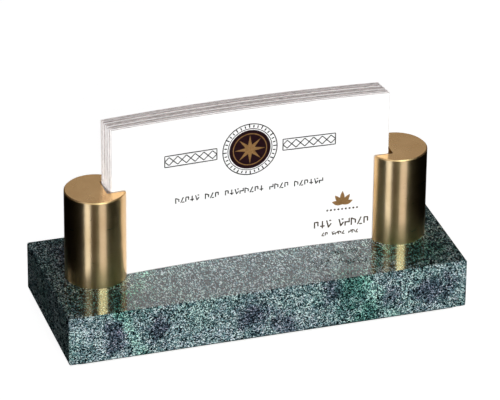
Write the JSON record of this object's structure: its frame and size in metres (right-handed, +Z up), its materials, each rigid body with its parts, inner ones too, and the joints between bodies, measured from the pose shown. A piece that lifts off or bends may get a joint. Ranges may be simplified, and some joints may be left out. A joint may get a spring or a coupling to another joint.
{
  "type": "business card holder",
  "caption": "Desk business-card holder: a polished stone slab with notched brass posts that hold an upright stack of cards by its ends.",
  "frame": {"origin": "middle of the felt's underside, where the holder rests on a desk", "axes": "+X along the slab's length, from the left post to the right post as a reader sees them; -Y towards the reader; +Z up"},
  "size_m": [0.128, 0.0502, 0.0683],
  "materials": {
    "green_marble": "polished, dark green with pale veins",
    "brass": "satin, turned",
    "steel": "zinc plated",
    "felt": "dark green wool felt",
    "card_paper": "smooth white card"
  },
  "bodies": {
    "holder": {"marble_base": "green_marble", "base_felt": "felt", "left_post": "brass", "right_post": "brass", "left_washer": "steel", "right_washer": "steel", "left_screw": "steel", "right_screw": "steel"},
    "card_01": {"card_01": "card_paper"},
    "card_02": {"card_02": "card_paper"},
    "card_03": {"card_03": "card_paper"},
    "card_04": {"card_04": "card_paper"},
    "card_05": {"card_05": "card_paper"},
    "card_06": {"card_06": "card_paper"},
    "card_07": {"card_07": "card_paper"},
    "card_08": {"card_08": "card_paper"},
    "card_09": {"card_09": "card_paper"},
    "card_10": {"card_10": "card_paper"},
    "card_11": {"card_11": "card_paper"},
    "card_12": {"card_12": "card_paper"},
    "card_13": {"card_13": "card_paper"},
    "card_14": {"card_14": "card_paper"},
    "card_15": {"card_15": "card_paper"},
    "card_16": {"card_16": "card_paper"},
    "card_17": {"card_17": "card_paper"}
  },
  "joints": [
    {"name": "card_01_lift", "type": "slide", "parent": "holder", "child": "card_01", "axis": [0, 0, 1], "range_m": [0, 0.06]},
    {"name": "card_02_lift", "type": "slide", "parent": "holder", "child": "card_02", "axis": [0, 0.0013, 1], "range_m": [0, 0.06]},
    {"name": "card_03_lift", "type": "slide", "parent": "holder", "child": "card_03", "axis": [0, 0.0015, 1], "range_m": [0, 0.06]},
    {"name": "card_04_lift", "type": "slide", "parent": "holder", "child": "card_04", "axis": [0, 0.0029, 1], "range_m": [0, 0.06]},
    {"name": "card_05_lift", "type": "slide", "parent": "holder", "child": "card_05", "axis": [0, 0.0037, 1], "range_m": [0, 0.06]},
    {"name": "card_06_lift", "type": "slide", "parent": "holder", "child": "card_06", "axis": [0, 0.0042, 1], "range_m": [0, 0.06]},
    {"name": "card_07_lift", "type": "slide", "parent": "holder", "child": "card_07", "axis": [0, 0.0057, 1], "range_m": [0, 0.06]},
    {"name": "card_08_lift", "type": "slide", "parent": "holder", "child": "card_08", "axis": [0, 0.006, 1], "range_m": [0, 0.06]},
    {"name": "card_09_lift", "type": "slide", "parent": "holder", "child": "card_09", "axis": [0, 0.0071, 1], "range_m": [0, 0.06]},
    {"name": "card_10_lift", "type": "slide", "parent": "holder", "child": "card_10", "axis": [0, 0.0082, 1], "range_m": [0, 0.06]},
    {"name": "card_11_lift", "type": "slide", "parent": "holder", "child": "card_11", "axis": [0, 0.0085, 1], "range_m": [0, 0.06]},
    {"name": "card_12_lift", "type": "slide", "parent": "holder", "child": "card_12", "axis": [0, 0.01, 0.9999], "range_m": [0, 0.06]},
    {"name": "card_13_lift", "type": "slide", "parent": "holder", "child": "card_13", "axis": [0, 0.0105, 0.9999], "range_m": [0, 0.06]},
    {"name": "card_14_lift", "type": "slide", "parent": "holder", "child": "card_14", "axis": [0, 0.0113, 0.9999], "range_m": [0, 0.06]},
    {"name": "card_15_lift", "type": "slide", "parent": "holder", "child": "card_15", "axis": [0, 0.0127, 0.9999], "range_m": [0, 0.06]},
    {"name": "card_16_lift", "type": "slide", "parent": "holder", "child": "card_16", "axis": [0, 0.0129, 0.9999], "range_m": [0, 0.06]},
    {"name": "card_17_lift", "type": "slide", "parent": "holder", "child": "card_17", "axis": [0, 0.0142, 0.9999], "range_m": [0, 0.06]}
  ]
}
